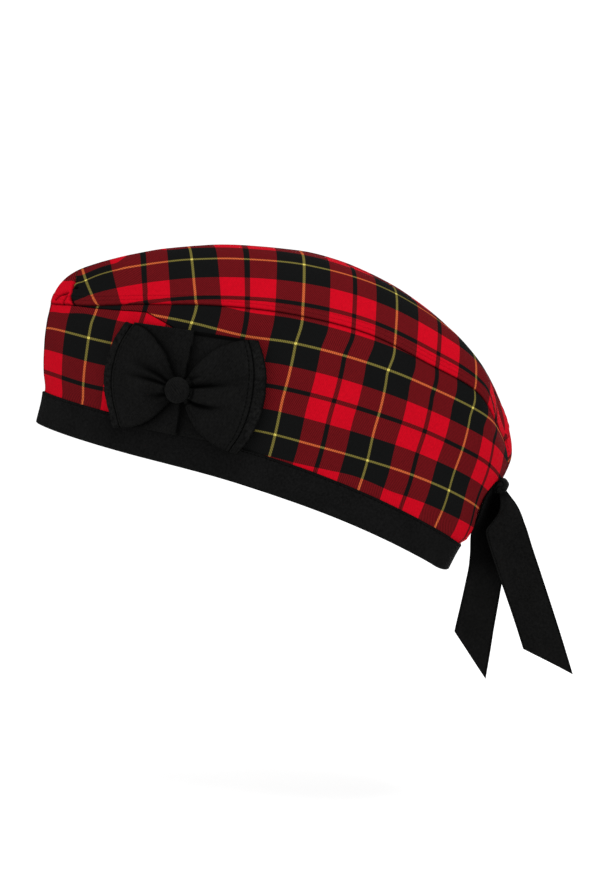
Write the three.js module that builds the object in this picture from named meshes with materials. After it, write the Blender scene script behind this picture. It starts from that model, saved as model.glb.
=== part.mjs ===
import * as THREE from 'three';

// A glengarry: a brimless, boat-shaped cap of tartan cloth on a plain band, with a bow cockade on
// its left side and a ribbon knotted at its back. Millimetres, +Z up, the front towards -Y and the
// wearer's left towards +X. The origin is the middle of the rim's opening, where the head goes in.
//
// The cap is worked out in its rim's own frame, and then pitched nose up:
//   along  from the rim's front end to its back end, on the chord between them
//   wide   from the middle of the cap to its side
//   rise   square to the rim's chord, upwards

// Cloth
const CLOTH = 2.0; // wall of the sides and the crown
const BAND_CLOTH = 2.6; // wall of the folded band
const BAND_PROUD = 1.0; // how far the band stands out from the sides
const BOW_CLOTH = 1.6;
const RIBBON_CLOTH = 1.2;
const GAP = 0.3; // left between pieces that touch

// The cap
const PITCH = 19.8; // degrees that the rim slopes down to the back
const MIDDLE = 122; // place along the chord that lies over the origin
const BAND_HEIGHT = 19;
const BAND_SWELL = 1.5; // how much taller the band is over the ears
const RIM_ARCH = 13.5; // how much higher the rim lies over the ears than at its ends
const ARCH_SHIFT = 1.3; // over 1 moves the arch's top towards the back
const NOSE_TAPER = 0.8; // 1 is a straight wedge in front, and less is fuller
const NOSE_MITRE = 1.5; // length that a wall takes up at the sharp nose, in wall thicknesses
const BACK_SWAY = 13; // how far the centre back is drawn over to the left
const SWAY_POWER = 6; // how late along the cap that begins
const BACK_TWIST = 0.4; // how much the centre back is also turned to the left, over the band
const TWIST_POWER = 25; // how late along the cap that begins
const RIDGE_SHARE = 0.5; // half the space between the crown's two ridges, in crown half widths
const CREASE_DEPTH = 10; // depth of the fold along the middle of the crown
const SEAM_LEAN = 5; // mm that the crown starts to lean in above its seam
const CROWN_FROM = 0.03; // places round the side where the crown piece begins and ends
const CROWN_TO = 0.99;
const SIDE_HEIGHT = 60; // typical height of a side piece above the band

// Rings of the cap from the rim to the crown seam. `up` is the share of the side's height above the
// band, and -1 is the rim. `front` and `back` are the ends along the cap, `wide` is half the width.
const RINGS = [
  { up: -1.0, front: -3.0, back: 244.0, wide: 58.0 },
  { up: 0.0, front: -5.5, back: 246.8, wide: 59.5 },
  { up: 0.2, front: -9.5, back: 249.5, wide: 60.5 },
  { up: 0.4, front: -13.0, back: 248.5, wide: 60.5 },
  { up: 0.6, front: -16.0, back: 254.5, wide: 59.5 },
  { up: 0.8, front: -18.2, back: 256.3, wide: 57.5 },
  { up: 1.0, front: -19.3, back: 249.0, wide: 54.5 },
];

// Sections round the left side, from the front crease to the centre back. `place` is the share of
// the way round. `seam` and `ridge` are the rises of the crown seam and of the crown's highest line.
const SECTIONS = [
  { place: 0.0, seam: 72.0, ridge: 72.0 },
  { place: 0.1, seam: 72.8, ridge: 88.0 },
  { place: 0.2, seam: 77.2, ridge: 103.5 },
  { place: 0.3, seam: 88.0, ridge: 121.0 },
  { place: 0.4, seam: 101.0, ridge: 136.5 },
  { place: 0.5, seam: 111.0, ridge: 146.5 },
  { place: 0.6, seam: 115.0, ridge: 146.5 },
  { place: 0.7, seam: 110.6, ridge: 134.6 },
  { place: 0.8, seam: 105.4, ridge: 118.2 },
  { place: 0.9, seam: 93.4, ridge: 97.3 },
  { place: 1.0, seam: 82.5, ridge: 83.6 },
];

// The cockade, on the left side. `u` runs back along the cap from the button, `v` up from it.
const COCKADE = { along: 72.5, above: 22.7, tilt: 6 }; // middle: place, rise over the band, degrees
// The bow's lobes: `bulge` rounds their ends, `flare` under 1 widens them early, `puff` is how far
// they stand off by the button, `fall` the share of that lost at their edges, `edge` what is left,
// and `sewn` how far out the waist is held down to the back layer, in shares of a lobe.
const BOW = {
  half: 45, bulge: 10, tall: 31, waist: 5.5, flare: 0.8, puff: 7, fall: 0.75, edge: 1.2, sewn: 0.1,
};
const PLEATS = { count: 3, depth: 1.1 }; // gathered folds of each lobe
const BACK_LAYER = { half: 36, tall: 29, shift: 3, pinch: 2 };
const BUTTON = { radius: 7.2, height: 4.5, rim: 1.6, sunk: 0.6 }; // `sunk` between the lobes

// The ribbon: a knot at the centre back, and two ends that hang from it, both upright.
const KNOT = { x: 12, y: 148, z: 5.5, across: 6.8, along: 3.9, tall: 6.4, waist: 0.6 };
// Rows down each hanging end: mm below the knot's middle, place of the strip's middle from front to
// back and to the left, half width, and degrees that it is turned from facing the side.
const NEAR_END = [
  { down: 2, y: 149.0, x: 18.5, half: 3.4, turn: 20 },
  { down: 9, y: 151.4, x: 19.4, half: 5.2, turn: 16 },
  { down: 17, y: 151.2, x: 19.0, half: 9.2, turn: 8 },
  { down: 32, y: 152.8, x: 16.5, half: 12.2, turn: 3 },
  { down: 57, y: 161.1, x: 14.0, half: 12.2, turn: 0 },
  { down: 108, y: 177.5, x: 12.0, half: 12.2, turn: 0 },
];
const FAR_END = [
  { down: 7.2, y: 147.0, x: 11.0, half: 4.5, turn: -24 },
  { down: 15, y: 142.8, x: 8.0, half: 7.5, turn: -14 },
  { down: 24, y: 140.6, x: 5.5, half: 10.0, turn: -8 },
  { down: 42, y: 139.6, x: 4.5, half: 10.4, turn: -5 },
  { down: 64, y: 135.9, x: 4.0, half: 10.8, turn: 0 },
  { down: 110, y: 127.0, x: 3.5, half: 10.9, turn: 0 },
];
// The slanted cuts: mm below the knot at the middle, and how much lower at the back edge than there.
const NEAR_CUT = { down: 96.4, slant: 7.1 };
const FAR_CUT = { down: 94.7, slant: 13.3 };

// Facets
const ROUND_SIDE = 40;
const UP_SIDE = 9;
const UP_BAND = 3;
const ACROSS_CROWN = 20;
const BOW_GRID = { across: 32, tall: 12 };
const BACK_GRID = { across: 14, tall: 8 };
const BUTTON_GRID = { round: 20, up: 5 };
const RIBBON_GRID = { down: 14, across: 4 };
const KNOT_GRID = { round: 16, along: 8 };

const TARTAN = new THREE.MeshStandardMaterial({ color: 0xb01826, roughness: 0.85, metalness: 0 });
const BLACK = new THREE.MeshStandardMaterial({ color: 0x151515, roughness: 0.8, metalness: 0 });

const lerp = THREE.MathUtils.lerp;
const radians = THREE.MathUtils.degToRad;

// A smooth curve through one column of a table, read at `at` in its key column.
function blend(rows, key, column, at) {
  const last = rows.length - 1;
  let i = 0;
  while (i < last - 1 && at > rows[i + 1][key]) i += 1;
  const slope = (k) => {
    const before = rows[Math.max(k - 1, 0)];
    const after = rows[Math.min(k + 1, last)];
    return (after[column] - before[column]) / (after[key] - before[key]);
  };
  const span = rows[i + 1][key] - rows[i][key];
  const s = (at - rows[i][key]) / span;
  const rest = s * s * (3 - 2 * s);
  const leave = s * (1 - s) * (1 - s) * span * slope(i);
  const arrive = s * s * (s - 1) * span * slope(i + 1);
  return lerp(rows[i][column], rows[i + 1][column], rest) + leave + arrive;
}

// Share of the cap's length reached at a place round the side: close steps at both ends.
const reach = (place) => (1 - Math.cos(Math.PI * place)) / 2;

// Half width at a share of the length, 0 at both ends and 1 at its most: a wedge in front, round
// at the back.
const WIDEST = NOSE_TAPER / (NOSE_TAPER + 0.5);
function plan(share) {
  const backEnd = Math.sqrt(Math.max(1 - share, 0) / (1 - WIDEST));
  return (share / WIDEST) ** NOSE_TAPER * backEnd;
}

const bandHeight = (share) => BAND_HEIGHT + BAND_SWELL * Math.sin(Math.PI * share);
const sway = (share) => BACK_SWAY * share ** SWAY_POWER;
const twist = (share, level) => BACK_TWIST * share ** TWIST_POWER * Math.max(level, 0);
const rimRise = (share) => RIM_ARCH * Math.sin(Math.PI * share ** ARCH_SHIFT);
const point = (wide, along, rise) => new THREE.Vector3(wide, along - MIDDLE, rise);

// A point on the cap's left half: `up` -1 to 0 is the band, 0 to 1 the side, 1 to 2 the crown from
// its seam to the crease in its middle. `inset` draws the surface in from the outside of the cloth,
// `side` 1 is the left half and -1 the right, and `apart` keeps it off the middle.
function skin(place, up, inset = 0, side = 1, apart = 0) {
  const share = reach(place);
  const level = Math.min(up, 1);
  const front = blend(RINGS, 'up', 'front', level) + inset * NOSE_MITRE;
  const back = blend(RINGS, 'up', 'back', level) - inset;
  const along = lerp(front, back, share);
  const half = (blend(RINGS, 'up', 'wide', level) - inset) * plan(share);
  const bandTop = rimRise(share) + bandHeight(share);
  const seam = blend(SECTIONS, 'place', 'seam', place);
  let wide = half;
  let rise = up < 0 ? bandTop + up * bandHeight(share) : lerp(bandTop, seam, level);
  if (up > 1) {
    const ridge = blend(SECTIONS, 'place', 'ridge', place) - inset;
    [wide, rise] = crownSection(half, seam, ridge, share, up - 1);
  }
  const shift = twist(share, level) * side * wide;
  return point(sway(share) + side * (wide + apart), along - shift, rise);
}

// Across one half of the crown, from its seam over the ridge to the crease: `over` 0 to 1.
const RIDGE_AT = 0.62;
const QUARTER = 0.5523; // makes a cubic curve bend like a quarter of an ellipse
function crownSection(half, seam, ridge, share, over) {
  const peak = RIDGE_SHARE * half;
  const height = ridge - seam;
  const lean = SEAM_LEAN * plan(share);
  const depth = CREASE_DEPTH * plan(share);
  const flat = (wide, rise) => new THREE.Vector2(wide, rise);
  const outer = new THREE.CubicBezierCurve(
    flat(half, seam),
    flat(half - lean * QUARTER, seam + height * QUARTER),
    flat(peak + (half - peak) * QUARTER, ridge),
    flat(peak, ridge),
  );
  const inner = new THREE.CubicBezierCurve(
    flat(peak, ridge),
    flat(peak * (1 - QUARTER), ridge),
    flat(peak * 0.12, ridge - depth * 0.92),
    flat(0, ridge - depth),
  );
  const at = over < RIDGE_AT
    ? outer.getPoint(over / RIDGE_AT)
    : inner.getPoint((over - RIDGE_AT) / (1 - RIDGE_AT));
  return [at.x, at.y];
}

// A closed wall between two grids of points, outer(i, j) and inner(i, j), for i to `across` and j
// to `tall`. Where `loop` is set the last column is the first one again.
function wall(name, material, across, tall, outer, inner, loop = false) {
  const columns = loop ? across : across + 1;
  const rows = tall + 1;
  const positions = [];
  for (const grid of [outer, inner]) {
    for (let i = 0; i < columns; i += 1) {
      for (let j = 0; j < rows; j += 1) positions.push(...grid(i / across, j / tall).toArray());
    }
  }
  const faces = [];
  const quad = (a, b, c, d) => faces.push(a, b, c, a, c, d);
  const out = (i, j) => (i % columns) * rows + j;
  const inn = (i, j) => columns * rows + out(i, j);
  for (let i = 0; i < across; i += 1) {
    for (let j = 0; j < tall; j += 1) {
      quad(out(i, j), out(i + 1, j), out(i + 1, j + 1), out(i, j + 1));
      quad(inn(i, j), inn(i, j + 1), inn(i + 1, j + 1), inn(i + 1, j));
    }
    quad(out(i, 0), inn(i, 0), inn(i + 1, 0), out(i + 1, 0));
    quad(out(i, tall), out(i + 1, tall), inn(i + 1, tall), inn(i, tall));
  }
  for (let j = 0; j < tall && !loop; j += 1) {
    quad(out(0, j), out(0, j + 1), inn(0, j + 1), inn(0, j));
    quad(out(across, j), inn(across, j), inn(across, j + 1), out(across, j + 1));
  }
  return solid(name, material, positions, faces);
}

// A named mesh from points and triangles, turned outwards if they wind inwards.
function solid(name, material, positions, faces) {
  const geometry = new THREE.BufferGeometry();
  geometry.setAttribute('position', new THREE.Float32BufferAttribute(positions, 3));
  const corner = (k) => new THREE.Vector3().fromArray(positions, 3 * k);
  let volume = 0;
  for (let f = 0; f < faces.length; f += 3) {
    volume += corner(faces[f]).dot(corner(faces[f + 1]).cross(corner(faces[f + 2])));
  }
  geometry.setIndex(volume < 0 ? [...faces].reverse() : faces);
  geometry.computeVertexNormals();
  const mesh = new THREE.Mesh(geometry, material);
  mesh.name = name;
  return mesh;
}

function sidePiece(name, side) {
  const low = GAP / SIDE_HEIGHT;
  const high = 1 - GAP / SIDE_HEIGHT;
  const face = (inset) => (u, v) => skin(u, lerp(low, high, v), inset, side, GAP / 2);
  return wall(name, TARTAN, ROUND_SIDE, UP_SIDE, face(0), face(CLOTH));
}

// From the left seam over both ridges to the right seam, and from the nose to the centre back.
function crownTop() {
  const face = (inset) => (u, v) => {
    const across = 2 * v - 1;
    const side = across < 0 ? 1 : -1;
    return skin(lerp(CROWN_FROM, CROWN_TO, u), 2 - Math.abs(across), inset, side);
  };
  return wall('crown_top', TARTAN, ROUND_SIDE, ACROSS_CROWN, face(0), face(CLOTH));
}

// Round the whole rim: `u` 0 to a half is the left side, front to back, and then the right side.
function headBand() {
  const face = (inset) => (u, v) => {
    const place = 1 - Math.abs(1 - 2 * u);
    return skin(place, v - 1, inset, u < 0.5 ? 1 : -1);
  };
  const inset = BAND_CLOTH - BAND_PROUD;
  return wall('head_band', BLACK, 2 * ROUND_SIDE, UP_BAND, face(-BAND_PROUD), face(inset), true);
}

// A point `out` from the left side, at `u` back from the button and `v` up from it.
const COCKADE_RING = RINGS[3];
function onSide(u, v, out) {
  const tilt = radians(COCKADE.tilt);
  const along = COCKADE.along + u * Math.cos(tilt) - v * Math.sin(tilt);
  const above = COCKADE.above + u * Math.sin(tilt) + v * Math.cos(tilt);
  const share = (along - COCKADE_RING.front) / (COCKADE_RING.back - COCKADE_RING.front);
  const place = Math.acos(1 - 2 * share) / Math.PI;
  const seam = blend(SECTIONS, 'place', 'seam', place);
  const height = seam - rimRise(share) - bandHeight(share);
  const up = above < 0 ? above / bandHeight(share) : above / height;
  const step = 0.01;
  const here = skin(place, up);
  const ahead = skin(place + step, up).sub(skin(place - step, up));
  const higher = skin(place, up + step).sub(skin(place, up - step));
  return here.addScaledVector(ahead.cross(higher).normalize(), out);
}

const COCKADE_SEAT = BAND_PROUD + 2 * GAP; // clears the band, which the cockade's foot overlaps
const BOW_SEAT = COCKADE_SEAT + 2 * BOW_CLOTH + GAP; // outside of the bow where it lies flattest

// Half height of the bow's lobes at a share of the way out from the button.
const lobe = (out) => lerp(BOW.waist, BOW.tall, Math.sin((Math.PI / 2) * out ** BOW.flare));

// The front of the bow: sewn down under the button, high beside it, low at the ends of the lobes.
function bowFront(end, across) {
  const out = Math.abs(end);
  const reachOut = (BOW.half - BOW.bulge * across * across) * end;
  const free = 1 - Math.exp(-((out / BOW.sewn) ** 2));
  const swell = free * (BOW.puff * (1 - across ** 2 * BOW.fall) * (1 - out ** 2) + BOW.edge);
  const gather = (1 - out) * Math.min(1, 4 * out); // none at the button, most just outside it
  const fold = PLEATS.depth * Math.cos(Math.PI * PLEATS.count * across) * gather;
  return { u: reachOut, v: lobe(out) * across, out: swell + fold };
}

function cockadeBow() {
  const face = (deep) => (s, t) => {
    const at = bowFront(2 * s - 1, 2 * t - 1);
    return onSide(at.u, at.v, BOW_SEAT + at.out - deep);
  };
  return wall('cockade_bow', BLACK, BOW_GRID.across, BOW_GRID.tall, face(0), face(BOW_CLOTH));
}

function cockadeBack() {
  const face = (out) => (s, t) => {
    const u = BACK_LAYER.half * (2 * s - 1);
    const pinch = BACK_LAYER.pinch * (1 - Math.abs(2 * s - 1));
    const v = (BACK_LAYER.tall - pinch) * (2 * t - 1) + BACK_LAYER.shift;
    return onSide(u, v, out);
  };
  const { across, tall } = BACK_GRID;
  return wall('cockade_back', BLACK, across, tall, face(COCKADE_SEAT + BOW_CLOTH), face(COCKADE_SEAT));
}

function cockadeButton() {
  const profile = [new THREE.Vector2(0, 0), new THREE.Vector2(BUTTON.radius, 0)];
  for (let k = 0; k <= BUTTON_GRID.up; k += 1) {
    const angle = (Math.PI / 2) * (k / BUTTON_GRID.up);
    const radius = k === BUTTON_GRID.up ? 0 : BUTTON.radius * Math.cos(angle);
    profile.push(new THREE.Vector2(radius, lerp(BUTTON.rim, BUTTON.height, Math.sin(angle))));
  }
  const button = new THREE.Mesh(new THREE.LatheGeometry(profile, BUTTON_GRID.round), BLACK);
  button.name = 'cockade_button';
  const base = BOW_SEAT + BOW.puff + BOW.edge + GAP - BUTTON.sunk;
  const foot = onSide(0, 0, base);
  const top = onSide(0, 0, base + 1);
  button.quaternion.setFromUnitVectors(new THREE.Vector3(0, 1, 0), top.clone().sub(foot).normalize());
  button.position.copy(foot);
  return button;
}

const cap = new THREE.Group();
cap.rotation.x = -radians(PITCH);
cap.add(sidePiece('left_side', 1), sidePiece('right_side', -1), crownTop(), headBand());
cap.add(cockadeBack(), cockadeBow(), cockadeButton());

// A hanging end of ribbon from its table's rows, with a slanted cut at the foot.
function ribbonEnd(name, rows, cut) {
  const top = rows[0].down;
  const face = (out) => (s, t) => {
    const side = 2 * t - 1;
    const drop = lerp(top, cut.down, s) + cut.slant * side * s ** 4;
    const read = (column) => blend(rows, 'down', column, drop);
    const turn = radians(read('turn'));
    const half = read('half') * side;
    const x = read('x') + out * Math.cos(turn) - half * Math.sin(turn);
    const y = read('y') + out * Math.sin(turn) + half * Math.cos(turn);
    return new THREE.Vector3(x, y, KNOT.z - drop);
  };
  const { down, across } = RIBBON_GRID;
  return wall(name, BLACK, down, across, face(RIBBON_CLOTH / 2), face(-RIBBON_CLOTH / 2));
}

// A knot like a small barrel, drawn in at its waist where the ribbon passes over itself.
function ribbonKnot() {
  const profile = [];
  for (let k = 0; k <= KNOT_GRID.along; k += 1) {
    const angle = Math.PI * (k / KNOT_GRID.along);
    const pinch = KNOT.waist * Math.sin(angle) ** 8;
    const radius = k % KNOT_GRID.along === 0 ? 0 : KNOT.along * Math.sin(angle) ** 0.7 - pinch;
    profile.push(new THREE.Vector2(radius, -KNOT.tall * Math.cos(angle)));
  }
  const geometry = new THREE.LatheGeometry(profile, KNOT_GRID.round);
  geometry.rotateX(Math.PI / 2);
  geometry.scale(KNOT.across / KNOT.along, 1, 1);
  const knot = new THREE.Mesh(geometry, BLACK);
  knot.name = 'ribbon_knot';
  knot.position.set(KNOT.x, KNOT.y, KNOT.z);
  return knot;
}

const ribbon = new THREE.Group();
ribbon.add(ribbonKnot());
ribbon.add(ribbonEnd('ribbon_end_near', NEAR_END, NEAR_CUT));
ribbon.add(ribbonEnd('ribbon_end_far', FAR_END, FAR_CUT));

const glengarry = new THREE.Group();
glengarry.add(cap, ribbon);

export default glengarry;
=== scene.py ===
import math

import bmesh
import bpy
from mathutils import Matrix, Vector, noise


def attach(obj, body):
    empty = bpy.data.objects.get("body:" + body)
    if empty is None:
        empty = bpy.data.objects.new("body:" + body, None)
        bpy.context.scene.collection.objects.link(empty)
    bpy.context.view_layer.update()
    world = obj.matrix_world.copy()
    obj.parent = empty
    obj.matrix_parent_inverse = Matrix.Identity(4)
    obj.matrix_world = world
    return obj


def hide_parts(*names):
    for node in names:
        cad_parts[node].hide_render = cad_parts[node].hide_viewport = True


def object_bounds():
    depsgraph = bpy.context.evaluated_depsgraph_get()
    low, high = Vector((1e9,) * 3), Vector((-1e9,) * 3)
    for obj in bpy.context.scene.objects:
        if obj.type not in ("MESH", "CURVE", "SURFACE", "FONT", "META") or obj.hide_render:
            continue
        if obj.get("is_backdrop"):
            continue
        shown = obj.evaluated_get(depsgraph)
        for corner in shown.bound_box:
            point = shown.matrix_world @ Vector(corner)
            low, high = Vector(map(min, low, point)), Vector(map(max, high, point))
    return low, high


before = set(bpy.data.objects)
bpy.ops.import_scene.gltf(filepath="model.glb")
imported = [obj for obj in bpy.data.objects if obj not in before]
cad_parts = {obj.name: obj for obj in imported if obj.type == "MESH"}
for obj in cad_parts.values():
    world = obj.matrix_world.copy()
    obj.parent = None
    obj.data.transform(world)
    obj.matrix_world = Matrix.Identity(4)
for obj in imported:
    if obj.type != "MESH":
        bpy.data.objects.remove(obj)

bl_info = {
    "name": "Glengarry cap",
    "version": (1, 0, 0),
    "blender": (4, 5, 0),
    "location": "View3D > Sidebar > Glengarry",
    "description": "Builds a tartan glengarry with a plain band, a bow cockade and ribbon ends",
    "category": "Add Mesh",
}

# ---- The cap's form. Millimetres, in the frame of its rim:
#   along  from the rim's front end to its back end, on the chord between them
#   wide   from the middle of the cap to its side
#   rise   square to the rim's chord, upwards
MM = 0.001
PITCH = math.radians(19.8)  # the rim slopes down to the back
MIDDLE = 122.0  # place along the chord that lies over the origin
BAND_HEIGHT = 19.0
BAND_SWELL = 1.5  # how much taller the band is over the ears
RIM_ARCH, ARCH_SHIFT = 13.5, 1.3  # the shift puts the top of the arch behind the middle
RIM_LIFT = 3.2  # how much higher the rim is towards the back than its arch
NOSE_TAPER = 0.8  # power by which the plan widens behind the nose
NOSE_MITRE = 1.5  # how much more than the rest the nose draws in with an inset
BACK_SWAY, SWAY_POWER = 13.0, 6  # how far the back end lies over to the left
FOOT_BULGE, BULGE_POWER = 2.0, 30  # how far the cloth swells out over the band at the back
BACK_TWIST, TWIST_POWER = 0.4, 25  # turns the centre back seam to the left
RIDGE_SHARE = 0.5  # place of the ridge across half of the crown
RIDGE_AT = 0.62  # share of the way over that half at which the ridge is met
CREASE_DEPTH = 10.0  # of the crease in the middle, under the ridges
SEAM_LEAN = 5.0  # how far the crown swells in over its seam
QUARTER = 0.5523  # makes a cubic curve bend like a quarter of an ellipse
STEP = 0.01  # for slopes

FRONT, BACK, WIDE = range(1, 4)
RINGS = (
    # up, front, back, wide
    (-1.0, -3.0, 244.0, 58.0),
    (0.0, -5.5, 246.8, 59.5),
    (0.2, -9.5, 250.0, 60.5),
    (0.4, -13.0, 252.0, 60.5),
    (0.6, -16.0, 255.2, 59.5),
    (0.8, -18.2, 256.1, 57.5),
    (0.9, -18.8, 254.0, 56.1),
    (1.0, -19.3, 249.8, 54.5),
)
RIDGE = 2
SECTIONS = (
    # place, seam, ridge
    (0.0, 66.9, 71.6),
    (0.1, 69.4, 88.0),
    (0.2, 76.0, 103.5),
    (0.3, 88.0, 121.0),
    (0.4, 101.0, 136.0),
    (0.5, 111.0, 145.2),
    (0.6, 115.0, 143.9),
    (0.7, 110.6, 133.8),
    (0.8, 105.4, 117.8),
    (0.9, 93.4, 96.3),
    (1.0, 82.5, 83.2),
)


def lerp(a, b, share):
    return a + (b - a) * share


def clamp(value, low=0.0, high=1.0):
    return min(max(value, low), high)


def smooth(value, low=0.0, high=1.0):
    share = clamp((value - low) / (high - low))
    return share * share * (3 - 2 * share)


def read(rows, at, column=1):
    """A smooth curve through one column of a table, read at `at` in its first column."""
    last = len(rows) - 1
    i = 0
    while i < last - 1 and at > rows[i + 1][0]:
        i += 1

    def slope(k):
        before, after = rows[max(k - 1, 0)], rows[min(k + 1, last)]
        return (after[column] - before[column]) / (after[0] - before[0])

    span = rows[i + 1][0] - rows[i][0]
    s = (at - rows[i][0]) / span
    leave = s * (1 - s) * (1 - s) * span * slope(i)
    arrive = s * s * (s - 1) * span * slope(i + 1)
    return lerp(rows[i][column], rows[i + 1][column], s * s * (3 - 2 * s)) + leave + arrive


def straight(rows, at):
    """The second column of a table, in straight runs between its rows."""
    if at <= rows[0][0]:
        return rows[0][1]
    for before, after in zip(rows, rows[1:]):
        if at <= after[0]:
            return lerp(before[1], after[1], (at - before[0]) / (after[0] - before[0]))
    return rows[-1][1]


def reach(place):
    """Share of the cap's length reached at a place round the side."""
    return (1 - math.cos(math.pi * place)) / 2


WIDEST = NOSE_TAPER / (NOSE_TAPER + 0.5)


def plan(share):
    """Half width at a share of the length: a wedge in front, round at the back."""
    back_end = math.sqrt(max(1 - share, 0) / (1 - WIDEST))
    return (max(share, 0) / WIDEST) ** NOSE_TAPER * back_end


def band_height(share):
    return BAND_HEIGHT + BAND_SWELL * math.sin(math.pi * share)


def rim_rise(share):
    place = math.acos(1 - 2 * clamp(share)) / math.pi
    lift = RIM_LIFT * smooth(place, 0.5, 0.8) * (1 - smooth(place, 0.82, 1.04))
    return RIM_ARCH * math.sin(math.pi * max(share, 0) ** ARCH_SHIFT) + lift


def band_top(share):
    return rim_rise(share) + band_height(share)


def side_height(place):
    return read(SECTIONS, place) - band_top(reach(place))


def from_rim(wide, along, rise):
    """A point of the rim's frame, in metres in the part's own frame."""
    y, z = along - MIDDLE, rise
    turned = (y * math.cos(PITCH) + z * math.sin(PITCH), z * math.cos(PITCH) - y * math.sin(PITCH))
    return Vector((wide, turned[0], turned[1])) * MM


def bezier(points, share):
    rest = 1 - share
    weights = (rest ** 3, 3 * rest * rest * share, 3 * rest * share * share, share ** 3)
    return tuple(sum(w * value for w, value in zip(weights, values)) for values in zip(*points))


def crown_section(half, seam, ridge, share, over):
    """Across half of the crown, from its seam over the ridge to the crease in the middle."""
    peak = RIDGE_SHARE * half
    height = ridge - seam
    lean = SEAM_LEAN * plan(share)
    depth = CREASE_DEPTH * plan(share)
    if over < RIDGE_AT:
        outer = (
            (half, seam),
            (half - lean * QUARTER, seam + height * QUARTER),
            (peak + (half - peak) * QUARTER, ridge),
            (peak, ridge),
        )
        return bezier(outer, over / RIDGE_AT)
    inner = (
        (peak, ridge),
        (peak * (1 - QUARTER), ridge),
        (peak * 0.12, ridge - depth * 0.92),
        (0, ridge - depth),
    )
    return bezier(inner, (over - RIDGE_AT) / (1 - RIDGE_AT))


def skin(place, up, inset=0.0, side=1):
    """A point on the cap: `up` -1 to 0 is the band, 0 to 1 the side, 1 to 2 half of the crown."""
    share = reach(place)
    level = clamp(up, -1.0, 1.0)
    front = read(RINGS, level, FRONT) + inset * NOSE_MITRE
    back = read(RINGS, level, BACK) - inset
    half = (read(RINGS, level, WIDE) - inset) * plan(share)
    foot, seam = band_top(share), read(SECTIONS, place)
    wide = half
    rise = foot + up * band_height(share) if up < 0 else lerp(foot, seam, level)
    if up > 1:
        ridge = read(SECTIONS, place, RIDGE) - inset
        wide, rise = crown_section(half, seam, ridge, share, up - 1)
    twist = BACK_TWIST * share ** TWIST_POWER * max(level, 0.0) * side * wide
    sway = BACK_SWAY * share ** SWAY_POWER
    back += FOOT_BULGE * smooth(level, 0.0, 0.06) * (1 - smooth(level, 0.08, 0.35)) * share ** BULGE_POWER
    return from_rim(sway + side * wide, lerp(front, back, share) - twist, rise)


# ---- How the tartan lies. One sett is a red half with a thin black line along its middle, and a black
# half with a thin yellow line along its middle. Yellow lines are at whole numbers of setts.
SETT = 59.4  # mm along the cap
COLUMNS = (
    # setts, place round the side at its foot, at 0.8 of its height, and at its top
    (-0.51, 0.0, 0.0, 0.0),
    (-0.36, 0.1, 0.1, 0.1),
    (0.0, 0.203, 0.204, 0.210),
    (0.5, 0.284, 0.294, 0.297),
    (1.0, 0.354, 0.367, 0.371),
    (1.5, 0.441, 0.439, 0.440),
    (2.0, 0.521, 0.506, 0.511),
    (2.5, 0.589, 0.570, 0.579),
    (3.0, 0.659, 0.631, 0.640),
    (3.5, 0.738, 0.705, 0.713),
    (4.0, 0.825, 0.784, 0.798),
    (4.5, 0.955, 0.875, 0.909),
    (5.0, 1.080, 1.040, 1.070),
)
REAR_ROWS = (
    # place, rise of the upper yellow row, of the thin black one and of the lower yellow one
    (0.0, 56.0, 30.5, 5.0),
    (0.2, 69.5, 44.0, 18.5),
    (0.26, 76.0, 50.5, 25.0),
    (0.292, 81.6, 56.1, 30.6),
    (0.31, 83.4, 57.9, 32.4),
    (0.37, 87.4, 61.9, 36.4),
    (0.44, 90.9, 65.4, 39.8),
    (0.5, 96.4, 71.0, 45.2),
    (0.57, 99.7, 74.6, 48.1),
    (0.64, 100.5, 76.0, 50.1),
    (0.71, 98.9, 75.8, 50.9),
    (0.78, 96.5, 73.6, 49.8),
    (0.85, 93.2, 70.8, 47.4),
    (0.92, 89.0, 66.9, 44.4),
    (1.0, 81.2, 61.0, 40.4),
)
FRONT_ROWS = (
    (0.0, 52.8, 29.4, 4.0),
    (0.1, 55.2, 30.4, 5.0),
    (0.2, 58.0, 32.3, 6.5),
    (0.26, 60.8, 35.1, 9.3),
    (0.35, 66.0, 40.3, 14.5),
    (0.5, 75.0, 49.3, 23.5),
    (1.0, 75.0, 49.3, 23.5),
)
CROWN_SETT = 49.0
CROWN_ROWS = (
    # place, mm from the seam to the thin black line above it
    (0.0, -20.0),
    (0.1, -14.0),
    (0.137, -11.6),
    (0.155, -9.5),
    (0.185, -6.0),
    (0.216, -3.4),
    (0.267, -0.5),
    (0.303, 1.5),
    (0.342, 3.2),
    (0.4, 4.8),
    (0.46, 6.0),
    (0.54, 6.9),
    (0.62, 7.2),
    (0.7, 7.9),
    (0.8, 6.9),
    (0.84, 6.6),
    (0.9, 2.0),
    (1.0, -4.0),
)
NOSE_FOLD = (
    # mm over the crown from its seam, place of the fold in front of which the cloth is tucked
    (0.0, 0.147),
    (1.5, 0.138),
    (4.5, 0.127),
    (8.0, 0.124),
    (12.0, 0.120),
    (16.0, 0.126),
    (24.0, 0.110),
)
NOSE_CREASES = (
    # (place, mm over the crown) along each crease in the tip
    ((0.147, 0.2), (0.127, 4.5), (0.124, 8.0), (0.120, 12.0), (0.127, 14.5)),
    ((0.062, 2.5), (0.073, 4.2), (0.091, 6.0), (0.112, 6.9)),
    ((0.106, 0.3), (0.110, 3.4), (0.113, 4.6)),
    ((0.120, 11.0), (0.139, 10.4)),
)
TUCK = (
    # place, share of the side's height at which the front of the side is tucked under the rear
    (0.0, 1.02),
    (0.15, 1.0),
    (0.2, 0.975),
    (0.25, 0.95),
    (0.3, 0.93),
    (0.333, 0.84),
    (0.354, 0.78),
    (0.42, 0.0),
    (0.421, -2.0),
    (1.0, -2.0),
)
FAR_ROW_DROP = 0.22  # setts that the right side's rows lie lower than the left side's
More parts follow.
